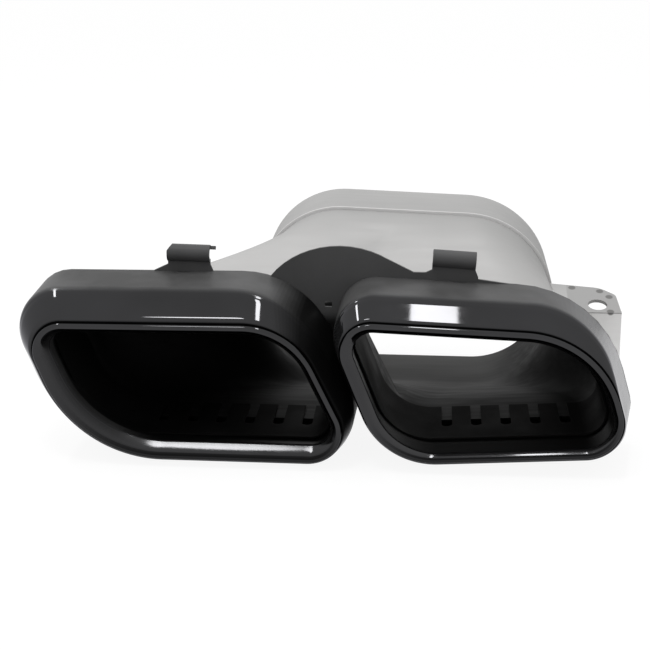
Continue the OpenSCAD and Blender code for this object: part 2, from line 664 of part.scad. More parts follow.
// The space that the funnel takes up, grown by d
module funnel_block(d) polyhedron(face_points(d), concat(whole_face(), flip(fan(0, n_trunk)),
    fan(n_right0 - n_ring, n_ring), fan(n_face - n_ring, n_ring)), 10);

module funnel_upper() shell(true);
module funnel_lower() shell(false);

module inlet_collar() color(steel) placed() slab(trunk_y, overall_depth) difference() {
    polygon(rounded(inlet_quad, flat, inlet_r));
    polygon(rounded(inlet_quad, flat, inlet_r, -collar_t));
}

// Bracket plate seen from above, in its own frame: fold along X, depth along Y
module bracket_outline() {
    polygon(rounded([[bracket_root_x, 0], [bracket_end_x, 0], [bracket_end_x - bracket_draw, bracket_side],
        [bracket_end_x - bracket_chamfer, bracket_corner], [bracket_end_x - bracket_back, bracket_len],
        [bracket_root_x, bracket_len]], 0 * bracket_r, bracket_r));
}

module side_bracket() color(steel) placed() difference() {
    translate([0, bracket_y, bracket_z]) rotate([bracket_tilt, 0, 0]) difference() {
        union() {
            linear_extrude(bracket_t) bracket_outline();
            slab(0, bracket_t) polygon([[bracket_root_x, bracket_t - flange_h],
                [bracket_end_x + flange_flare, bracket_t - flange_h], [bracket_end_x, bracket_t],
                [bracket_root_x, bracket_t]]);
        }
        translate([bracket_end_x - hole_from_end, hole_from_fold, -bracket_t])
            cylinder(h = 3 * bracket_t, d = hole_d, $fn = 48);
    }
    funnel_block(seat_gap);
}

left_tip();
right_tip();
left_liner();
right_liner();
carrier_plate();
funnel_upper();
funnel_lower();
inlet_collar();
side_bracket();
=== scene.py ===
"""Looks of the twin exhaust tip trim: smooth shells, sheet edges, coatings, studio light and camera."""
import math

import bmesh
import bpy
import numpy as np
from mathutils import Matrix, Vector

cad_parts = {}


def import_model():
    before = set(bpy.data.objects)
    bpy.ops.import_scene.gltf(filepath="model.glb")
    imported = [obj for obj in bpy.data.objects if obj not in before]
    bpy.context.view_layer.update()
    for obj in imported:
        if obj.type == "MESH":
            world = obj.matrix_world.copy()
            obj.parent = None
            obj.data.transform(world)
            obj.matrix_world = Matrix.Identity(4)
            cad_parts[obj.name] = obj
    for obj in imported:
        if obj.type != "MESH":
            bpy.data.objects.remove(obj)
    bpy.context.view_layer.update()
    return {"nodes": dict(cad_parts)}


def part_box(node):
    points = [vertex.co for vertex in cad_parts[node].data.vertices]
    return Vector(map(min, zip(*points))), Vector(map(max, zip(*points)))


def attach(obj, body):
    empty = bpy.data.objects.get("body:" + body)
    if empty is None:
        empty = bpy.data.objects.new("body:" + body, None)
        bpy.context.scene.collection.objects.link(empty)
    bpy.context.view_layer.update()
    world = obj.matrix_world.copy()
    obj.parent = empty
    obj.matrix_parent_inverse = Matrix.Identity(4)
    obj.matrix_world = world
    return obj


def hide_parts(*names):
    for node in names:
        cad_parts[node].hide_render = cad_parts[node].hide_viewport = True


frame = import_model()

# Driving sizes in millimetres, as in the model of the part
FLAT = (0, 0, 0, 0)
TIP_DEPTH = 50
TIP_T = 1.2
BEAD_R = 1.6
RETURN_DEPTH = 22
RETURN_IN = 6
EDGE_ROLL = 1.5
CROWN = 0.25
SHEET_EDGE = 0.25
NOTCH_W = 12
NOTCH_D = 2.4
NOTCH_X = (-78, 66.5)
NOTCH_Z = 85
NOTCH_CUT_H = 30
LINER_T = 1
LINER_START = 17
LINER_END = 63
SLOT_W = 5.5
SLOT_PITCH = 15.5
SLOT_START = 34
FUNNEL_T = 1.2
MOUTH_START = 46
MOUTH_END = 64
TRUNK_Y = 135
OVERALL_DEPTH = 185
CROTCH_Y = 86
CROTCH_LOW = (33, 14)
CROTCH_HIGH = (8, 68)
LEFT_DROP = 1.15
RIGHT_DROP = 1.12
DROP_BEND = 0.75
VALLEY_START = 0.4
BRACKET_T = 2
BRACKET_Y = 91
BRACKET_Z = 59
BRACKET_TILT = 16
DIMPLES = ((131.1, 25.2), (146.4, 22), (151.1, 16.3), (150.5, 1.2))
INLET_X = -49.5
INLET_W = 172.5
INLET_H = 109.5
INLET_FALL = 6
INLET_R = (48, 46, 53, 48)
COLLAR_T = 1.5
COLLAR_LAP = 9
COLLAR_EDGE = 0.45
COLLAR_SEAL = 0.05
FIT_GAP = 0.2

LINER_OUT = -(RETURN_IN + FIT_GAP)
MOUTH_OUT = -(RETURN_IN - FUNNEL_T)
TRUNK_OUT = -(COLLAR_T + FIT_GAP)
R_LEAST = 1
SHARP_DEG = 35

# Steps round each corner of an outline, and points between two corners
ARC = 24
SIDE = 7
BLOCK = ARC + 1 + SIDE
COUNT = 4 * BLOCK

# The solids have fewer: this many steps round each corner, and one step along each side
COARSE_ARC = 8
COARSE_BLOCK = COARSE_ARC + 1

# Corners run bottom left, bottom right, top right, top left; sides run bottom, right, top, left
LEFT_QUAD = ((-126, 5), (18, 5), (-17, 77.2), (-153.5, 75.7))
LEFT_WIDE = ((-126, 5), (25.5, 5), (-17, 77.2), (-153.5, 75.7))
RIGHT_QUAD = ((29, 4.5), (155, 12.5), (136, 75.4), (-1, 80.4))
INLET_QUAD = ((INLET_X, 0), (INLET_X + INLET_W, 0),
              (INLET_X + INLET_W, INLET_H - INLET_FALL), (INLET_X, INLET_H))
REAR_Y = (TIP_DEPTH,) * 4

# Each shape is a quad, the offsets of its sides, its corner radii and the depths of its sides
LEFT_TIP = ((LEFT_QUAD, FLAT, (48, 17, 40, 12), FLAT),
            (LEFT_WIDE, (5, 5, 14, 9.8), (72, 27, 52, 22), (13, 13, 18, 16)),
            (LEFT_WIDE, (5, 6, 14.5, 8.5), (72, 27, 50, 20), REAR_Y))
RIGHT_TIP = ((RIGHT_QUAD, FLAT, (36, 19, 52, 16), FLAT),
             (RIGHT_QUAD, (5, 0.8, 10.5, 2), (43, 20, 44, 21), (13, 7, 18, 13)),
             (RIGHT_QUAD, (5, 7.1, 10.5, 1), (43, 16, 62, 20), REAR_Y))

# The lips as the photograph shows them: how far each side stands out, how far in and how deep its inner slope
# ends, and the corner radii
LEFT_LIP = ((0.8, 0, 0, 2), (-8.3, -5.7, -5.7, -8.6), (6.4, 4.3, 4.3, 7.2), (64, 17, 40, 15.5))
RIGHT_LIP = (FLAT, (-4.6, -5.2, -5.7, -6.9), (3.2, 3.8, 4.3, 3), (38, 19, 52, 16))
DARK_FROM = 14

# Section of a tip: the shares of the rear skin and of the bevel that the crease's rounding takes, the shares
# of the bevel where its roll towards the groove ends and begins, and the groove as shares of the bevel with
# offsets and depths
CREASE_BEHIND = 0.09
CREASE_BEFORE = 0.14
ROLL_FROM = 0.06
ROLL_TO = 0.24
GROOVE = ((0.035, -0.03, 2.3), (0.015, -0.2, 2.8), (0, -0.45, 3.1), (0, -0.7, 3.05))

# The bead's turn in degrees, then the inner slope's bulge as a share of its length, and the shares of the
# slope and of the return where the rounding between them begins and ends
BEAD_START = -56
BEAD_END = 135
BEAD_STEP = 8
SLOPE_BULGE = 0.014
KNEE_BEFORE = 0.86
KNEE_AFTER = 0.1

# The part's own frame stands off these lengths by this much
SHIFT = (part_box("inlet_collar")[0][0] * 1000 - INLET_X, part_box("left_tip")[0][1] * 1000, 0)


def mix(a, b, t):
    return a * (1 - t) + b * t


def smooth(t):
    return t * t * (3 - 2 * t)


def side_normal(quad, i):
    a, b = np.array(quad[i], float), np.array(quad[(i + 1) % 4], float)
    u = (b - a) / np.linalg.norm(b - a)
    return np.array([u[1], -u[0]])


def meet(n1, d1, n2, d2):
    k = n1[0] * n2[1] - n1[1] * n2[0]
    return np.array([(d1 * n2[1] - d2 * n1[1]) / k, (n1[0] * d2 - n2[0] * d1) / k])


def outline(quad, off, radii, d=0.0):
    """Points of a rounded four-sided outline, its sides moved out by off and d.

    The arc of each corner comes first, then the points along the side after it."""
    d = np.broadcast_to(d, 4)
    arcs = []
    for i in range(4):
        p = (i + 3) % 4
        n1, n2 = side_normal(quad, p), side_normal(quad, i)
        q = np.array(quad[i], float)
        c = meet(n1, n1 @ q + off[p] + d[p], n2, n2 @ q + off[i] + d[i])
        r = max(radii[i] + (d[p] + d[i]) / 2, R_LEAST)
        middle = c - r * (n1 + n2) / (1 + n1 @ n2)
        start, turn = math.atan2(n1[1], n1[0]), math.acos(n1 @ n2)
        angles = start + turn * np.arange(ARC + 1) / ARC
        arcs.append(middle + r * np.stack([np.cos(angles), np.sin(angles)], axis=1))
    points = []
    for i in range(4):
        a, b = arcs[i][-1], arcs[(i + 1) % 4][0]
        shares = np.arange(1, SIDE + 1) / (SIDE + 1)
        points += [arcs[i], a + (b - a) * smooth(shares)[:, None]]
    return np.concatenate(points)


def per_point(sides):
    """A value of each side, spread over the points of an outline and eased round the corners."""
    share = smooth(np.arange(ARC + 1) / ARC)
    parts = []
    for i in range(4):
        parts += [mix(sides[(i + 3) % 4], sides[i], share), np.full(SIDE, float(sides[i]))]
    return np.concatenate(parts)


def ring(shape, d=0.0, y=0.0):
    """The outline as a ring in space, the depth of each side eased round the corners."""
    quad, off, radii, depths = shape
    flat = outline(quad, off, radii, d)
    return np.stack([flat[:, 0], per_point(np.array(depths, float) + y), flat[:, 1]], axis=1)


def to_metres(points):
    return (np.asarray(points, float) + np.array(SHIFT)) / 1000


def finish_mesh(bm, name, sharp_deg, merge=1e-7):
    """Turns a bmesh into a shown piece with clean outward normals."""
    bmesh.ops.remove_doubles(bm, verts=bm.verts, dist=merge)
    bmesh.ops.recalc_face_normals(bm, faces=bm.faces)
    mesh = bpy.data.meshes.new(name)
    bm.to_mesh(mesh)
    bm.free()
    for face in mesh.polygons:
        face.use_smooth = True
    mesh.set_sharp_from_angle(angle=math.radians(sharp_deg))
    piece = bpy.data.objects.new(name, mesh)
    bpy.context.scene.collection.objects.link(piece)
    return piece


def loft(name, rings, **marks):
    """A sheet closed on itself: the rings follow its section once round.

    Each mark has a level for every band between two rings."""
    bm = bmesh.new()
    layers = {key: bm.faces.layers.float.new(key) for key in marks}
    rows = [[bm.verts.new(Vector(p)) for p in to_metres(r)] for r in rings]
    for i in range(len(rows)):
        a, b = rows[i], rows[(i + 1) % len(rows)]
        for k in range(len(a)):
            m = (k + 1) % len(a)
            face = bm.faces.new((a[k], b[k], b[m], a[m]))
            for key, layer in layers.items():
                face[layer] = float(np.broadcast_to(marks[key][i], len(a))[k])
    return finish_mesh(bm, name, SHARP_DEG)


# Tip shells

def tip_rings(shapes, lip_form, dull, shade, lit):
    """Rings from the rear edge over the crease, the groove and the bead, into the mouth and behind the skin.

    Each comes with how matt the band after it is, and how far it is darkened: by painted shade in the groove,
    along the bottom and where the tips face each other, and by black coat in the mouth. For each side, dull
    tells how matt the skin is behind the crease, shade how much painted shade it gets where the tips face
    each other, and lit how far the return in the mouth stays grey."""
    lip, crease, rear = shapes
    out, knee_in, knee_y, radii = (np.array(v, float) for v in lip_form)
    lip = (lip[0], out, radii, lip[3])
    rows = []

    def add(ring_points, matt=0.0, black=0.0):
        rows.append((ring_points, matt, black))

    def station(s, d=0.0, y=0.0):
        if s <= 1:
            return mix(ring(lip, d, y), ring(crease, d, y), s)
        return mix(ring(crease, d, y), ring(rear, d, y), s - 1)

    # Rear edge and rear skin
    dull = per_point(np.array(dull, float))
    # Painted shade: the skin goes near black where the tips face each other
    shade = np.clip(2 * per_point(np.array(shade, float)) - 0.7, 0, 0.97)
    add(station(2, -TIP_T + SHEET_EDGE), dull, shade)
    add(station(2, -SHEET_EDGE * 0.3, -SHEET_EDGE * 0.05), dull, shade)
    add(station(2, 0, -SHEET_EDGE), dull, shade)
    for s in np.linspace(1.98, 1 + CREASE_BEHIND * 1.6, 9):
        add(station(s), dull, shade)

    # Crease
    a, c, b = station(1 + CREASE_BEHIND), station(1), station(1 - CREASE_BEFORE)
    for t in np.linspace(0, 1, 13):
        add(a * (1 - t) ** 2 + 2 * c * t * (1 - t) + b * t * t, dull * smooth(1 - t), shade)

    # Crowned bevel, its edge rolled towards the groove, and the groove, both darkened near the groove by
    # painted shade
    for s in [*np.linspace(1 - CREASE_BEFORE - 0.03, 0.3, 6), *np.linspace(0.26, ROLL_FROM, 9)]:
        roll = EDGE_ROLL * max(0, 1 - (s - ROLL_FROM) / (ROLL_TO - ROLL_FROM)) ** 2
        crown = CROWN * 4 * s * (1 - s)
        dark = 0.7 * max(0, 1 - (s - ROLL_FROM) / 0.06)
        add(station(s, crown, roll - crown), 0, np.maximum(shade, dark))
    for s, d, y in GROOVE:
        add(station(s, d, y), 0, 0.9)

    # Bead, with painted shade at its groove side and along the bottom
    bottom_shade = per_point(np.array((1.0, 0, 0, 0)))
    for deg in range(BEAD_START, BEAD_END + 1, BEAD_STEP):
        a = math.radians(deg)
        dark = 0.6 if deg < -20 else bottom_shade * (0.4 if deg < 108 else 0.85)
        add(station(0, BEAD_R * (math.cos(a) - 1), BEAD_R * (1 - math.sin(a))), 0, dark)

    # Slope into the mouth, each side with offsets and depths of its own
    turn = math.radians(BEAD_END)
    start = np.array([np.full(4, BEAD_R * (math.cos(turn) - 1)), np.full(4, BEAD_R * (1 - math.sin(turn)))])
    knee = np.array([knee_in, knee_y])
    middle = np.array([-RETURN_IN - out, np.full(4, float(DARK_FROM))])
    end = np.array([-RETURN_IN - out, np.full(4, float(RETURN_DEPTH))])
    swell = np.array([start[1] - knee[1], knee[0] - start[0]]) * SLOPE_BULGE
    before, after = mix(start, knee, KNEE_BEFORE), mix(knee, middle, KNEE_AFTER)
    grey = np.clip(3 * per_point(np.array(lit, float)), 0, 1)
    for t in np.linspace(0.08, 0.92, 9):
        # Painted shade along the bottom at the slope's start
        dark = 0.35 * grey * smooth(t) + bottom_shade * max(0, 0.8 - 6 * (t - 0.08))
        add(station(0, *(mix(start, before, t) + swell * 4 * t * (1 - t))), 0.25 * smooth(t), dark)

    # Knee at the slope's end and the return behind it
    profile = [before * (1 - t) ** 2 + 2 * knee * t * (1 - t) + after * t * t for t in np.linspace(0, 1, 7)]
    profile += [mix(after, middle, t) for t in np.linspace(0.25, 1, 4)]
    profile += [mix(middle, end, t) for t in (0.5, 1)]
    for i, (d, y) in enumerate(profile):
        share = smooth(min(1, i / 4))
        add(station(0, d, y), grey * share, mix(0.35 * grey, 1 - 0.45 * grey, share) if i < 10 else 1.0)

    # Back of the return, of the lip and of the skin
    for i in range(len(profile) - 1, 2, -1):
        d, y = profile[i]
        add(station(0, TIP_T + d, y + TIP_T * 0.6 * (i < 7)), 0, 1)
    add(station(0.02, -TIP_T - 1, 5.4), 0, 1)
    add(station(0.15, -TIP_T, 4.4), 0, 1)
    for s in np.linspace(0.35, 1 - CREASE_BEFORE, 4):
        add(station(s, -TIP_T, 1.2), 0, 1)
    add(station(1, -TIP_T - 0.4, 0.4), 0, 1)
    for s in (1 + CREASE_BEHIND, *np.linspace(1.2, 2, 5)):
        add(station(s, -TIP_T), 0, 1)
    return rows


def boolean_cut(piece, cutters):
    """Cuts the joined cutters out of a piece for good."""
    for cutter in cutters:
        mod = piece.modifiers.new("cut", "BOOLEAN")
        mod.operation = "DIFFERENCE"
        mod.solver = "EXACT"
        mod.object = cutter
    graph = bpy.context.evaluated_depsgraph_get()
    mesh = bpy.data.meshes.new_from_object(piece.evaluated_get(graph))
    piece.modifiers.clear()
    piece.data = mesh
    for cutter in cutters:
        bpy.data.objects.remove(cutter)


def notch_cutter(x):
    """A drum that takes a half-moon out of a rear edge over this place."""
    bm = bmesh.new()
    r = (NOTCH_W ** 2 / 4 + NOTCH_D ** 2) / (2 * NOTCH_D)
    centre = to_metres((x, TIP_DEPTH + r - NOTCH_D, NOTCH_Z))
    bmesh.ops.create_cone(bm, cap_ends=True, segments=128, radius1=r / 1000, radius2=r / 1000,
                          depth=NOTCH_CUT_H / 1000, matrix=Matrix.Translation(Vector(centre)))
    return finish_mesh(bm, "notch_cutter", 30)


def tip(name, shapes, notch_x, *lip_values):
    rings, matt, black = zip(*tip_rings(shapes, *lip_values))
    piece = loft(name, rings, matt=matt, black=black)
    boolean_cut(piece, [notch_cutter(notch_x)])
    piece.data.set_sharp_from_angle(angle=math.radians(SHARP_DEG))
    return piece


# Per side: how matt the rear skin is, how much painted shade it gets where the tips face each other, and how
# far the mouth's return stays grey
left_tip = tip("left_tip_shell", LEFT_TIP, NOTCH_X[0], LEFT_LIP, (1, 1, 1, 0.4), (0, 1, 0, 0), (0, 0, 0, 1))
right_tip = tip("right_tip_shell", RIGHT_TIP, NOTCH_X[1], RIGHT_LIP, (1, 0.3, 1, 1), (0, 0, 0, 0.8), FLAT)


# Liners, prismatic sleeves with slots between fingers at the rear

def slot_cutters(quad, radii):
    """One mesh of rounded slots through the straight stretches of a liner's bottom and top."""
    bm = bmesh.new()
    for i in (0, 2):
        a, b = np.array(quad[i], float), np.array(quad[(i + 1) % 4], float)
        u = (b - a) / np.linalg.norm(b - a)
        n0, n1, n2 = (side_normal(quad, k % 4) for k in (i + 3, i, i + 1))
        start = radii[i] * math.tan(math.acos(n0 @ n1) / 2)
        end = np.linalg.norm(b - a) - radii[(i + 1) % 4] * math.tan(math.acos(n1 @ n2) / 2)
        count = max(math.floor((end - start - SLOT_W) / SLOT_PITCH) + 1, 0)
        for k in range(count):
            c = a + u * ((start + end) / 2 + (k - (count - 1) / 2) * SLOT_PITCH)
            r = SLOT_W / 2
            flat = [(r * math.cos(t), SLOT_START + r - r * math.sin(t)) for t in np.linspace(0, math.pi, 17)]
            flat += [(-r, LINER_END + 3), (r, LINER_END + 3)]
            low, high = ([bm.verts.new(Vector(to_metres([c[0] + u[0] * x - n1[0] * h, y,
                                                         c[1] + u[1] * x - n1[1] * h])))
                          for x, y in flat] for h in (3, RETURN_IN + LINER_T + 2))
            bm.faces.new(low)
            bm.faces.new(high[::-1])
            for j in range(len(flat)):
                m = (j + 1) % len(flat)
                bm.faces.new((low[j], low[m], high[m], high[j]))
    return finish_mesh(bm, "slot_cutter", 30)


def liner(name, lip):
    """A sleeve inside a tip's return, with eased edges and with slots at its rear end."""
    quad, off, radii, _ = lip
    start = (quad, off, radii, FLAT)
    edge = SHEET_EDGE
    section = [(LINER_OUT, LINER_END - edge)]
    section += [(LINER_OUT, y) for y in np.linspace(LINER_END - 4, LINER_START + 4, 5)]
    section += [(LINER_OUT, LINER_START + edge), (LINER_OUT - edge, LINER_START),
                (LINER_OUT - LINER_T + edge, LINER_START), (LINER_OUT - LINER_T, LINER_START + edge)]
    section += [(LINER_OUT - LINER_T, y) for y in np.linspace(LINER_START + 4, LINER_END - 4, 5)]
    section += [(LINER_OUT - LINER_T, LINER_END - edge), (LINER_OUT - LINER_T + edge, LINER_END),
                (LINER_OUT - edge, LINER_END)]
    piece = loft(name, [ring(start, d, y) for d, y in section])
    boolean_cut(piece, [slot_cutters(quad, radii)])
    piece.data.set_sharp_from_angle(angle=math.radians(SHARP_DEG))
    return piece


left_liner = liner("left_liner_sleeve", LEFT_TIP[0])
right_liner = liner("right_liner_sleeve", RIGHT_TIP[0])


# Funnel: a trunk of the inlet's outline that parts into two branches at the crotch

HALF = ARC // 2
LEFT_B = BLOCK + HALF
LEFT_T = 2 * BLOCK + HALF
RIGHT_T = 3 * BLOCK + HALF
RIGHT_B = HALF
LEFT_OUTER = [k % COUNT for k in range(LEFT_T, COUNT + LEFT_B + 1)]
RIGHT_OUTER = list(range(RIGHT_B, RIGHT_T + 1))
T_CROTCH = (TRUNK_Y - CROTCH_Y) / (TRUNK_Y - MOUTH_END)
NOSE_FADE = 4
TRUNK_STEPS = 26
BRANCH_STEPS = 18
SEAM_DEG = 38
SEAM_MERGE = 2e-6


def coarse(j):
    """The place of point j round an outline, counted in the coarser steps of the solids."""
    i, k = divmod(j, BLOCK)
    return COARSE_BLOCK * i + (COARSE_ARC * k / ARC if k <= ARC else COARSE_ARC + (k - ARC) / (SIDE + 1))


def inlet_points(d, left):
    """Where each outer point of a branch starts on the inlet's outline."""
    q = outline(INLET_QUAD, FLAT, INLET_R, TRUNK_OUT + d)
    up = np.array([0, TRUNK_OUT + d])
    top = mix(np.array(INLET_QUAD[3], float), np.array(INLET_QUAD[2], float), 0.5) + up
    low = mix(np.array(INLET_QUAD[0], float), np.array(INLET_QUAD[1], float), 0.5) - up
    reach = coarse(BLOCK) - coarse(HALF)
    points = []
    for j in (LEFT_OUTER if left else RIGHT_OUTER):
        s = coarse(j)
        if left and LEFT_T <= j < 3 * BLOCK:
            points.append(mix(top, q[3 * BLOCK], (s - coarse(LEFT_T)) / reach))
        elif left and BLOCK - SIDE <= j <= LEFT_B:
            points.append(mix(low, q[BLOCK - 1 - SIDE], (coarse(LEFT_B) - s) / reach))
        elif not left and j < BLOCK:
            points.append(mix(low, q[BLOCK], (s - coarse(RIGHT_B)) / reach))
        elif not left and j > 3 * BLOCK - 1 - SIDE:
            points.append(mix(top, q[3 * BLOCK - 1 - SIDE], (coarse(RIGHT_T) - s) / reach))
        else:
            points.append(q[j])
    return np.array(points)


def blend(a, b, t, drop):
    """Points on the way from the inlet to a mouth. Their height changes sooner than their place across."""
    k = smooth(min(t * drop, 1)) ** DROP_BEND
    return np.stack([mix(a[:, 0], b[:, 0], smooth(t)), mix(a[:, 1], b[:, 1], k)], axis=1)


def crotch(d, up):
    """A point of the edge between the branches, from its lower end to its upper end."""
    low = np.array([CROTCH_LOW[0], CROTCH_LOW[1] - d])
    high = np.array([CROTCH_HIGH[0], CROTCH_HIGH[1] + d])
    return mix(low, high, up)


def nose(t, d):
    """How far the sheet's inner face is set back at the crotch, fading out on both sides of it."""
    return -d * max(0, 1 - abs(t - T_CROTCH) * NOSE_FADE)


def lifted(points, y):
    return np.stack([points[:, 0], np.broadcast_to(y, len(points)), points[:, 1]], axis=1)


def funnel_rings(d):
    """Rings of one face of the sheet: of the trunk, of the left branch and of the right branch."""
    ml = outline(LEFT_QUAD, FLAT, LEFT_TIP[0][2], MOUTH_OUT + d)
    mr = outline(RIGHT_QUAD, FLAT, RIGHT_TIP[0][2], MOUTH_OUT + d)
    il, ir = inlet_points(d, True), inlet_points(d, False)

    def depth(t):
        return mix(TRUNK_Y, MOUTH_END, t)

    def trunk(t, y):
        left = blend(il[1:-1], ml[LEFT_OUTER[1:-1]], t, LEFT_DROP)
        right = blend(ir[1:-1], mr[RIGHT_OUTER[1:-1]], t, RIGHT_DROP)
        s = smooth(max(0, t / T_CROTCH - VALLEY_START) / (1 - VALLEY_START))
        top = mix((left[0] + right[-1]) / 2, crotch(d, 1), s)
        low = mix((left[-1] + right[0]) / 2, crotch(d, 0), s)
        y_nose = y + nose(t, d)
        return np.concatenate([lifted(top[None], y_nose), lifted(left, y),
                               lifted(low[None], y_nose), lifted(right, y)])

    def branch(t, y, left):
        mouth, start = (ml, il) if left else (mr, ir)
        outer = LEFT_OUTER if left else RIGHT_OUTER
        v = smooth((t - T_CROTCH) / (1 - T_CROTCH))
        points = np.zeros((COUNT, 3))
        free = blend(start, mouth[outer], t, LEFT_DROP if left else RIGHT_DROP)
        points[outer] = lifted(free, y)
        chain = range(LEFT_B, LEFT_T + 1) if left else range(RIGHT_T, COUNT + RIGHT_B + 1)
        for j in (k % COUNT for k in chain):
            rise = coarse(j) - coarse(LEFT_B) if left else (coarse(RIGHT_B) - coarse(j)) % coarse(COUNT)
            up = rise / COARSE_BLOCK
            p = mix(crotch(d, up), mouth[j], v)
            points[j] = (p[0], y + nose(t, d), p[1])
        return points

    trunk_t = T_CROTCH * np.arange(TRUNK_STEPS + 1) / TRUNK_STEPS
    branch_t = mix(T_CROTCH, 1, np.arange(BRANCH_STEPS + 1) / BRANCH_STEPS)
    trunk_part = [trunk(0, TRUNK_Y + COLLAR_LAP)] + [trunk(t, depth(t)) for t in trunk_t]
    left_part, right_part = ([branch(t, depth(t), left) for t in branch_t] + [branch(1, MOUTH_START, left)]
                             for left in (True, False))
    return trunk_part, left_part, right_part


def funnel_shell(name, upper):
    """One of the funnel's two stamped shells, with its thickness."""
    bm = bmesh.new()
    mark = bm.faces.layers.float.new("inside")
    trunk_n = len(LEFT_OUTER) + len(RIGHT_OUTER) - 2
    seam_l = COUNT - LEFT_T
    seam_r = len(LEFT_OUTER) - 1 + (BLOCK + ARC) - RIGHT_B
    seam_j = BLOCK + ARC
    spans = [(seam_r, trunk_n + seam_l), (seam_j, COUNT), (seam_j, COUNT)] if upper else \
        [(seam_l, seam_r), (0, seam_j), (0, seam_j)]
    skins = []
    for d in (0, -FUNNEL_T):
        parts = []
        for rings, (a, b) in zip(funnel_rings(d), spans):
            rows = [[bm.verts.new(Vector(p)) for p in to_metres(r[[k % len(r) for k in range(a, b + 1)]])]
                    for r in rings]
            parts.append(rows)
            for i in range(len(rows) - 1):
                for k in range(b - a):
                    quad = (rows[i][k], rows[i + 1][k], rows[i + 1][k + 1], rows[i][k + 1])
                    face = bm.faces.new(quad if d == 0 else quad[::-1])
                    face[mark] = 0.0 if d == 0 else 1.0
        skins.append(parts)
    for outer, inner in zip(*skins):
        end = 0 if outer is skins[0][0] else -1
        edges = [(outer[end][k], outer[end][k + 1], inner[end][k + 1], inner[end][k])
                 for k in range(len(outer[0]) - 1)]
        for side in (0, -1):
            edges += [(outer[i][side], outer[i + 1][side], inner[i + 1][side], inner[i][side])
                      for i in range(len(outer) - 1)]
        for quad in edges:
            bm.faces.new(quad)[mark] = 1.0
    return finish_mesh(bm, name, SEAM_DEG, merge=SEAM_MERGE)


funnel_upper = funnel_shell("funnel_upper_shell", True)
funnel_lower = funnel_shell("funnel_lower_shell", False)


# Inlet collar

def collar():
    """The sleeve round the funnel's rear end, its front edge closed onto the funnel."""
    shape = (INLET_QUAD, FLAT, INLET_R, FLAT)
    edge = COLLAR_EDGE
    section = [(0, OVERALL_DEPTH - edge)]
    section += [(0, y) for y in np.linspace(OVERALL_DEPTH - 5, TRUNK_Y + 5, 6)]
    section += [(0, TRUNK_Y + edge), (-edge * 0.3, TRUNK_Y + edge * 0.3), (-edge, TRUNK_Y),
                (COLLAR_SEAL - COLLAR_T - FIT_GAP, TRUNK_Y), (-COLLAR_T, TRUNK_Y + edge)]
    section += [(-COLLAR_T, y) for y in np.linspace(TRUNK_Y + 5, OVERALL_DEPTH - 5, 6)]
    section += [(-COLLAR_T, OVERALL_DEPTH - edge), (-COLLAR_T + edge, OVERALL_DEPTH), (-edge, OVERALL_DEPTH),
                (-edge * 0.3, OVERALL_DEPTH - edge * 0.3)]
    inside = [1.0 if d == -COLLAR_T else 0.0 for d, _ in section]
    return loft("inlet_collar_sleeve", [ring(shape, d, y) for d, y in section], inside=inside)


inlet_collar = collar()


# Sheet parts that keep their solid's mesh and get broken edges

def eased_copy(node, name, width):
    """A copy of a node's mesh, its flat faces joined again and its edges bevelled."""
    source = frame["nodes"][node]
    bm = bmesh.new()
    bm.from_mesh(source.data)
    bm.transform(source.matrix_world)
    bmesh.ops.remove_doubles(bm, verts=bm.verts, dist=1e-7)
    bmesh.ops.dissolve_limit(bm, angle_limit=math.radians(1), verts=bm.verts, edges=bm.edges)
    piece = finish_mesh(bm, name, 35)
    mod = piece.modifiers.new("ease", "BEVEL")
    mod.width = width
    mod.segments = 2
    mod.limit_method = "ANGLE"
    mod.angle_limit = math.radians(40)
    mod.harden_normals = False
    return piece


carrier_plate = eased_copy("carrier_plate", "carrier_plate_sheet", 0.00025)
side_bracket = eased_copy("side_bracket", "side_bracket_sheet", 0.0003)


# Materials

# Where each tone begins and ends along an axis of the lips' frame, painted shade and painted highlights among
# them, and how fast a dimple's painted shade fades, per metre
PLATE_SHADE_Z = (64, 71)
COLLAR_DARK_Y = (100, TRUNK_Y)
VALLEY_Z = (66, 76)
VALLEY_LEFT = (-22, -12)
VALLEY_RIGHT = (20, 30)
BRACKET_X = (127.5, 128.5)
PLATE_Z = (BRACKET_Z + 1, BRACKET_Z + 1.8)
INSIDE_GREY_Y = (94, 128)
INSIDE_GREY_LEFT = (-10, 30)
INSIDE_GREY_RIGHT = (82, 112)
DIMPLE_FADE = 300


def material(name):
    mat = bpy.data.materials.new(name)
    mat.use_nodes = True
    nodes = mat.node_tree.nodes
    return mat, nodes, mat.node_tree.links, nodes["Principled BSDF"]


def noise(nodes, links, scale, detail=4, stretch=(1, 1, 1)):
    """A noise texture on the object's own coordinates, stretched along an axis."""
    coord = nodes.new("ShaderNodeTexCoord")
    mapping = nodes.new("ShaderNodeMapping")
    mapping.inputs["Scale"].default_value = stretch
    tex = nodes.new("ShaderNodeTexNoise")
    tex.inputs["Scale"].default_value = scale
    tex.inputs["Detail"].default_value = detail
    links.new(coord.outputs["Object"], mapping.inputs["Vector"])
    links.new(mapping.outputs["Vector"], tex.inputs["Vector"])
    return tex.outputs["Fac"]


def ramp(nodes, links, source, low, high, start=0.3, end=0.7):
    """Maps a grey value between two colours or two levels."""
    node = nodes.new("ShaderNodeValToRGB")
    node.color_ramp.elements[0].position = start
    node.color_ramp.elements[1].position = end
    for element, value in zip(node.color_ramp.elements, (low, high)):
        element.color = (*value, 1) if isinstance(value, tuple) else (value, value, value, 1)
    links.new(source, node.inputs["Fac"])
    return node.outputs["Color"]


def bump(nodes, links, shader, source, strength, distance):
    """Unevenness of the surface, with its strength and its depth in metres."""
    node = nodes.new("ShaderNodeBump")
    node.inputs["Strength"].default_value = strength
    node.inputs["Distance"].default_value = distance
    links.new(source, node.inputs["Height"])
    links.new(node.outputs["Normal"], shader.inputs["Normal"])


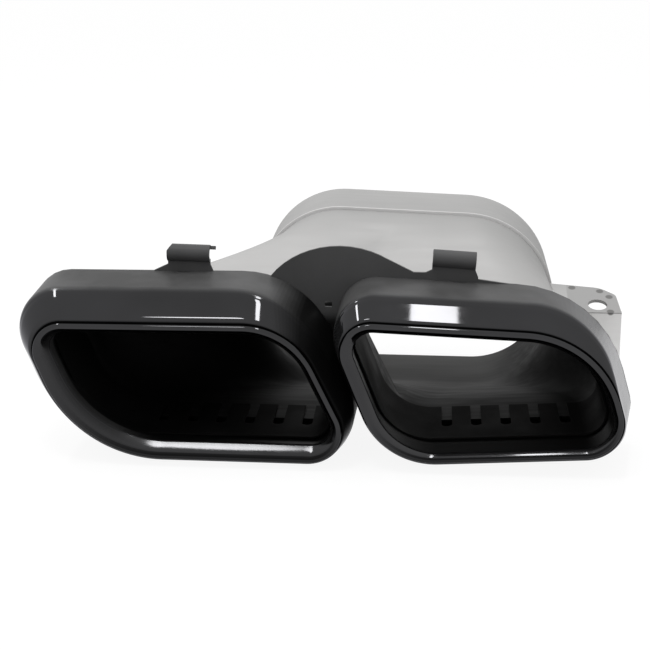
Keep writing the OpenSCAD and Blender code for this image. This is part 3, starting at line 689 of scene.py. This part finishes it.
def by_place(nodes, links, axis, start, end):
    """0 before start and 1 after end along an axis of the lips' frame, in millimetres."""
    coord = nodes.new("ShaderNodeTexCoord")
    split = nodes.new("ShaderNodeSeparateXYZ")
    links.new(coord.outputs["Object"], split.inputs["Vector"])
    step = nodes.new("ShaderNodeMapRange")
    step.interpolation_type = "SMOOTHSTEP"
    shift = SHIFT["XYZ".index(axis)]
    step.inputs["From Min"].default_value = (start + shift) / 1000
    step.inputs["From Max"].default_value = (end + shift) / 1000
    links.new(split.outputs[axis], step.inputs["Value"])
    return step.outputs["Result"]


def combine(nodes, links, operation, a, b):
    """One operation on two levels, each a number or a socket."""
    node = nodes.new("ShaderNodeMath")
    node.operation = operation
    node.use_clamp = True
    for socket, value in zip(node.inputs, (a, b)):
        if isinstance(value, (int, float)):
            socket.default_value = value
        else:
            links.new(value, socket)
    return node.outputs["Value"]


def blend_values(nodes, links, share, low, high, kind="VALUE"):
    """Mixes two levels or two colours, each a constant or a socket, by a share."""
    node = nodes.new("ShaderNodeMix")
    node.data_type = "RGBA" if kind == "RGBA" else "FLOAT"
    for key, value in (("A", low), ("B", high)):
        socket = next(x for x in node.inputs if x.name == key and x.type == kind)
        if isinstance(value, (int, float)):
            socket.default_value = value
        elif isinstance(value, tuple):
            socket.default_value = (*value, 1)
        else:
            links.new(value, socket)
    factor = next(x for x in node.inputs if x.name == "Factor" and x.type == "VALUE")
    links.new(share, factor)
    return next(x for x in node.outputs if x.type == kind)


def marked(nodes, name):
    """The level that each face carries under this name."""
    node = nodes.new("ShaderNodeAttribute")
    node.attribute_name = name
    return node.outputs["Fac"]


def dark_chrome():
    """Dark mirror in front, satin behind the crease, with painted shade in the groove, along the bottom and
    where the tips face each other, and black coat in the mouth.
    """
    mat, nodes, links, shader = material("dark_chrome")
    matt, black = marked(nodes, "matt"), marked(nodes, "black")
    cloud = noise(nodes, links, 14, 3)
    mirror = ramp(nodes, links, cloud, (0.036, 0.036, 0.037), (0.046, 0.046, 0.048))
    satin = ramp(nodes, links, noise(nodes, links, 30, 4), (0.058, 0.058, 0.058), (0.098, 0.098, 0.099),
                 0.35, 0.65)
    skin = blend_values(nodes, links, matt, mirror, satin, "RGBA")
    # Faces marked for painted shade and for the black coat in the mouth go near black
    skin = blend_values(nodes, links, black, skin, (0.002, 0.002, 0.002), "RGBA")
    links.new(skin, shader.inputs["Base Color"])
    dull = combine(nodes, links, "ADD", matt, black)
    links.new(combine(nodes, links, "SUBTRACT", 1, dull), shader.inputs["Metallic"])
    shader.inputs["Specular Tint"].default_value = (0.8, 0.8, 0.82, 1)
    shader.inputs["Specular IOR Level"].default_value = 0.05
    smear = ramp(nodes, links, noise(nodes, links, 60, 5, (1, 1, 3)), 0.02, 0.06)
    links.new(blend_values(nodes, links, dull, smear, 0.45), shader.inputs["Roughness"])
    bump(nodes, links, shader, noise(nodes, links, 22, 2), 0.05, 0.0006)
    return mat


def black_coat():
    """Rough black of the liners."""
    mat, nodes, links, shader = material("black_coat")
    cloud = noise(nodes, links, 40, 5)
    coat = ramp(nodes, links, cloud, (0.002, 0.002, 0.002), (0.005, 0.005, 0.005))
    links.new(coat, shader.inputs["Base Color"])
    links.new(ramp(nodes, links, cloud, 0.5, 0.7), shader.inputs["Roughness"])
    shader.inputs["Specular IOR Level"].default_value = 0.02
    bump(nodes, links, shader, noise(nodes, links, 900, 3), 0.25, 0.0002)
    return mat


def grey_coat():
    """Dark grey of the plate, with painted shade, near black, on its lower part between the tips."""
    mat, nodes, links, shader = material("grey_coat")
    cloud = noise(nodes, links, 30, 5)
    coat = ramp(nodes, links, cloud, (0.072, 0.072, 0.073), (0.095, 0.095, 0.096))
    # Painted shade: below these heights the plate is near black
    unshaded = by_place(nodes, links, "Z", *PLATE_SHADE_Z)
    coat = blend_values(nodes, links, unshaded, (0.003, 0.003, 0.003), coat, "RGBA")
    links.new(coat, shader.inputs["Base Color"])
    links.new(ramp(nodes, links, cloud, 0.4, 0.55), shader.inputs["Roughness"])
    shader.inputs["Specular IOR Level"].default_value = 0.15
    bump(nodes, links, shader, noise(nodes, links, 700, 3), 0.2, 0.0002)
    return mat


def dimples(nodes, links):
    """1 in the small pressed dimples of the bracket's plate, which get painted shade."""
    coord = nodes.new("ShaderNodeTexCoord")
    nearest = None
    for x, along in DIMPLES:
        tilt = math.radians(BRACKET_TILT)
        y = BRACKET_Y + along * math.cos(tilt) - BRACKET_T * math.sin(tilt)
        z = BRACKET_Z + along * math.sin(tilt) + BRACKET_T * math.cos(tilt)
        node = nodes.new("ShaderNodeVectorMath")
        node.operation = "DISTANCE"
        links.new(coord.outputs["Object"], node.inputs[0])
        node.inputs[1].default_value = to_metres((x, y, z))
        far = combine(nodes, links, "MULTIPLY", node.outputs["Value"], DIMPLE_FADE)
        near = combine(nodes, links, "SUBTRACT", 1, far)
        nearest = near if nearest is None else combine(nodes, links, "MAXIMUM", nearest, near)
    return ramp(nodes, links, nearest, 0.0, 1.0, 0.3, 0.5)


def satin_steel():
    """Steel sheet, pale outside and darker towards the collar, with a painted highlight along the collar's
    front edge and painted shade in the valley between the branches. Inside it is painted shade, near black
    but for a dark grey stretch in the middle towards the collar.

    Past BRACKET_X it takes the bracket's colours: a flange paler than the plate, which is a painted
    highlight, and dimples painted dark, which is painted shade. The right side of the funnel reaches there
    and takes them too, which shows from the right as a white patch."""
    mat, nodes, links, shader = material("satin_steel")
    inside = marked(nodes, "inside")
    cloud = noise(nodes, links, 12, 4)
    sheet = ramp(nodes, links, cloud, (0.46, 0.457, 0.453), (0.5, 0.496, 0.492))
    near_collar = ramp(nodes, links, cloud, (0.38, 0.378, 0.375), (0.42, 0.417, 0.413))
    # Darker towards the collar
    outside = blend_values(nodes, links, by_place(nodes, links, "Y", *COLLAR_DARK_Y), sheet, near_collar, "RGBA")
    # Painted highlight: a paler band along the collar's front edge
    rim_highlight = combine(nodes, links, "SUBTRACT", by_place(nodes, links, "Y", TRUNK_Y - 0.3, TRUNK_Y - 0.1),
                  by_place(nodes, links, "Y", TRUNK_Y + 1, TRUNK_Y + 1.6))
    outside = blend_values(nodes, links, rim_highlight, outside, (0.6, 0.595, 0.59), "RGBA")
    # Painted shade: near black in the valley between the branches, low down behind the plate
    low = combine(nodes, links, "SUBTRACT", 1, by_place(nodes, links, "Z", *VALLEY_Z))
    between = combine(nodes, links, "SUBTRACT", by_place(nodes, links, "X", *VALLEY_LEFT),
                      by_place(nodes, links, "X", *VALLEY_RIGHT))
    valley_shade = combine(nodes, links, "MULTIPLY", low, between)
    outside = blend_values(nodes, links, valley_shade, outside, (0.01, 0.01, 0.01), "RGBA")
    # Painted highlight: the bracket's flange is paler than its plate and bare metal
    bracket = by_place(nodes, links, "X", *BRACKET_X)
    plate = by_place(nodes, links, "Z", *PLATE_Z)
    flange_highlight_and_plate = blend_values(nodes, links, plate, (0.74, 0.735, 0.73), (0.38, 0.378, 0.375), "RGBA")
    outside = blend_values(nodes, links, bracket, outside, flange_highlight_and_plate, "RGBA")
    # Painted shade: the dimples are painted dark
    outside = blend_values(nodes, links, dimples(nodes, links), outside, (0.19, 0.188, 0.185), "RGBA")
    # Painted shade inside: near black, dark grey only in the middle towards the collar
    inside_grey = ramp(nodes, links, cloud, (0.085, 0.085, 0.084), (0.11, 0.11, 0.108))
    inside_grey_share = combine(nodes, links, "MULTIPLY", by_place(nodes, links, "Y", *INSIDE_GREY_Y),
                   by_place(nodes, links, "X", *INSIDE_GREY_LEFT))
    inside_grey_share = combine(nodes, links, "SUBTRACT", inside_grey_share, by_place(nodes, links, "X", *INSIDE_GREY_RIGHT))
    inside_shade = blend_values(nodes, links, inside_grey_share, (0.002, 0.002, 0.002), inside_grey, "RGBA")
    links.new(blend_values(nodes, links, inside, outside, inside_shade, "RGBA"), shader.inputs["Base Color"])
    flange = combine(nodes, links, "SUBTRACT", bracket, plate)
    bare = combine(nodes, links, "ADD", 0.25, flange)
    links.new(blend_values(nodes, links, inside, bare, 0.0), shader.inputs["Metallic"])
    shader.inputs["Specular IOR Level"].default_value = 0.08
    grain = noise(nodes, links, 260, 4, (0.08, 1, 1))
    links.new(ramp(nodes, links, grain, 0.5, 0.62), shader.inputs["Roughness"])
    bump(nodes, links, shader, grain, 0.05, 0.0003)
    return mat


FINISH = {"dark_chrome": dark_chrome(), "black_coat": black_coat(), "grey_coat": grey_coat(),
          "satin_steel": satin_steel()}

for piece, node, finish in ((left_tip, "left_tip", "dark_chrome"),
                            (right_tip, "right_tip", "dark_chrome"),
                            (left_liner, "left_liner", "black_coat"),
                            (right_liner, "right_liner", "black_coat"),
                            (carrier_plate, "carrier_plate", "grey_coat"),
                            (funnel_upper, "funnel_upper", "satin_steel"),
                            (funnel_lower, "funnel_lower", "satin_steel"),
                            (inlet_collar, "inlet_collar", "satin_steel"),
                            (side_bracket, "side_bracket", "satin_steel")):
    piece.data.materials.clear()
    piece.data.materials.append(FINISH[finish])
    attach(piece, "root")
    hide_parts(node)


# Floor, world and lights

# Every lamp's radiance, in levels of white, and the place in metres that the lamps face
LAMP_LEVEL = 22
LAMP_AIM = (0, 0, 0.05)


def any_of(nodes, links, path, names):
    """1 for a ray of any of the named kinds."""
    seen = path.outputs[names[0]]
    for name in names[1:]:
        node = nodes.new("ShaderNodeMath")
        node.operation = "MAXIMUM"
        links.new(seen, node.inputs[0])
        links.new(path.outputs[name], node.inputs[1])
        seen = node.outputs["Value"]
    return seen


def floor():
    """Pale floor: it glows for the camera and for reflections, and its own colour takes the shadow."""
    bm = bmesh.new()
    bmesh.ops.create_grid(bm, x_segments=1, y_segments=1, size=6)
    mesh = bpy.data.meshes.new("floor")
    bm.to_mesh(mesh)
    bm.free()
    obj = bpy.data.objects.new("floor", mesh)
    bpy.context.scene.collection.objects.link(obj)
    mat, nodes, links, shader = material("pale_floor")
    shader.inputs["Base Color"].default_value = (0.14, 0.14, 0.14, 1)
    shader.inputs["Roughness"].default_value = 1
    shader.inputs["Specular IOR Level"].default_value = 0
    shader.inputs["Emission Color"].default_value = (0.9, 0.9, 0.9, 1)
    path = nodes.new("ShaderNodeLightPath")
    seen = any_of(nodes, links, path, ("Is Camera Ray", "Is Glossy Ray", "Is Transmission Ray"))
    links.new(seen, shader.inputs["Emission Strength"])
    mesh.materials.append(mat)


def world():
    """Light grey all round for the object, white where the camera or a reflection looks."""
    env = bpy.data.worlds.new("studio")
    env.use_nodes = True
    nodes, links = env.node_tree.nodes, env.node_tree.links
    fill = nodes["Background"]
    fill.inputs["Color"].default_value = (0.68, 0.68, 0.68, 1)
    fill.inputs["Strength"].default_value = 1
    white = nodes.new("ShaderNodeBackground")
    white.inputs["Color"].default_value = (1, 1, 1, 1)
    white.inputs["Strength"].default_value = 1
    path = nodes.new("ShaderNodeLightPath")
    pick = nodes.new("ShaderNodeMixShader")
    seen = any_of(nodes, links, path, ("Is Camera Ray", "Is Glossy Ray", "Is Transmission Ray"))
    links.new(seen, pick.inputs["Fac"])
    links.new(fill.outputs["Background"], pick.inputs[1])
    links.new(white.outputs["Background"], pick.inputs[2])
    links.new(pick.outputs["Shader"], nodes["World Output"].inputs["Surface"])
    bpy.context.scene.world = env


def softbox(name, place, size, shape="RECTANGLE"):
    """A lamp at place, of the given width and depth in metres, that faces the part."""
    data = bpy.data.lights.new(name, "AREA")
    data.shape = shape
    data.size, data.size_y = size
    area = size[0] * size[1] * (math.pi / 4 if shape == "ELLIPSE" else 1)
    data.energy = LAMP_LEVEL * math.pi * area
    obj = bpy.data.objects.new(name, data)
    z = (Vector(place) - Vector(LAMP_AIM)).normalized()
    x = (Vector((1, 0, 0)) - z * z.x).normalized()
    obj.matrix_world = Matrix.Translation(place) @ Matrix((x, z.cross(x), z)).transposed().to_4x4()
    bpy.context.scene.collection.objects.link(obj)


floor()
world()
softbox("long_strip", (0.1, -0.03, 1.0), (0.055, 0.45))
softbox("wide_oval", (-0.2, -0.35, 1.0), (0.2, 0.14), "ELLIPSE")
softbox("left_strip", (-0.45, 0.14, 0.8), (0.05, 0.38))

# Camera, at the photograph's viewing angle for a frame of 650 x 650 pixels
FRAME_PX = 650
FOCAL_PX = 1400
SENSOR_MM = 36
CAMERA_MM = (51.3, -655.26, 287.72)
PITCH_DEG = 17.633
YAW_DEG = 4.476

camera_data = bpy.data.cameras.new("camera")
camera_data.sensor_width = SENSOR_MM
camera_data.lens = SENSOR_MM * FOCAL_PX / FRAME_PX
camera = bpy.data.objects.new("camera", camera_data)
camera.location = to_metres(CAMERA_MM)
camera.rotation_euler = (math.radians(90 - PITCH_DEG), 0, math.radians(YAW_DEG))
bpy.context.scene.collection.objects.link(camera)
bpy.context.scene.camera = camera

bpy.context.scene.view_settings.view_transform = "Standard"
